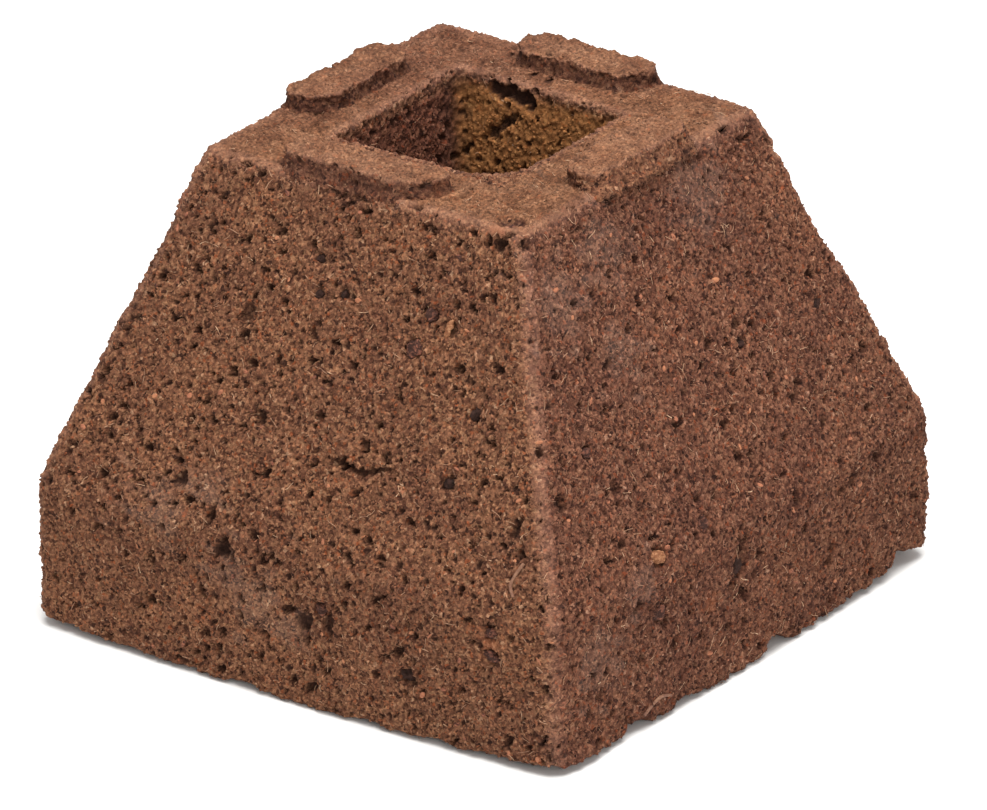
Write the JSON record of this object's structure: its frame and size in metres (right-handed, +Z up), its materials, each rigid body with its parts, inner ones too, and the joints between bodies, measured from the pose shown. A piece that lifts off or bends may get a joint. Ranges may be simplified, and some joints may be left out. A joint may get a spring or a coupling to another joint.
{
  "type": "pressed peat growing block",
  "caption": "Pressed peat and bark-fibre growing block: square pyramid frustum on an upright band, tapered square plug hole in its top, raised pads round the mouth.",
  "frame": {"origin": "centre of the flat underside", "axes": "+Z up, out of the plug hole; +X and +Y along the sides of the square base"},
  "size_m": [0.0809, 0.0809, 0.0645],
  "materials": {
    "pressed_peat": "matte, open-grained, pitted, reddish brown",
    "red_bark": "dull broken bark, orange brown",
    "pale_wood": "raw split wood, pale tan",
    "dark_peat": "dull dark crumb",
    "bast_fibre": "raw plant fibre, slightly silky, straw"
  },
  "bodies": {
    "root": {"moulded_block": "pressed_peat", "bark_chip_top_corner": "red_bark", "bark_chip_band_corner_upper": "red_bark", "bark_chip_band_corner_lower": "red_bark", "bark_chip_left_slope_low": "red_bark", "bark_chip_left_slope_high": "red_bark", "bark_chip_left_band": "red_bark", "bark_chip_right_band": "red_bark", "bark_chip_right_slope_low": "red_bark", "bark_chip_right_slope_high": "red_bark", "wood_splinter_left_slope": "pale_wood", "wood_chip_right_slope": "pale_wood", "peat_grain_left_top": "dark_peat", "peat_grain_left_upper": "dark_peat", "peat_grain_left_middle": "dark_peat", "peat_grain_left_ridge": "dark_peat", "peat_grain_left_lower": "dark_peat", "peat_grain_left_band": "dark_peat", "peat_grain_right_band": "dark_peat", "peat_grain_right_middle": "dark_peat", "peat_grain_right_upper": "dark_peat", "bast_fibre_corner": "bast_fibre", "bast_fibre_lower_edge": "bast_fibre", "bast_fibre_hole_rim": "bast_fibre"}
  },
  "joints": []
}
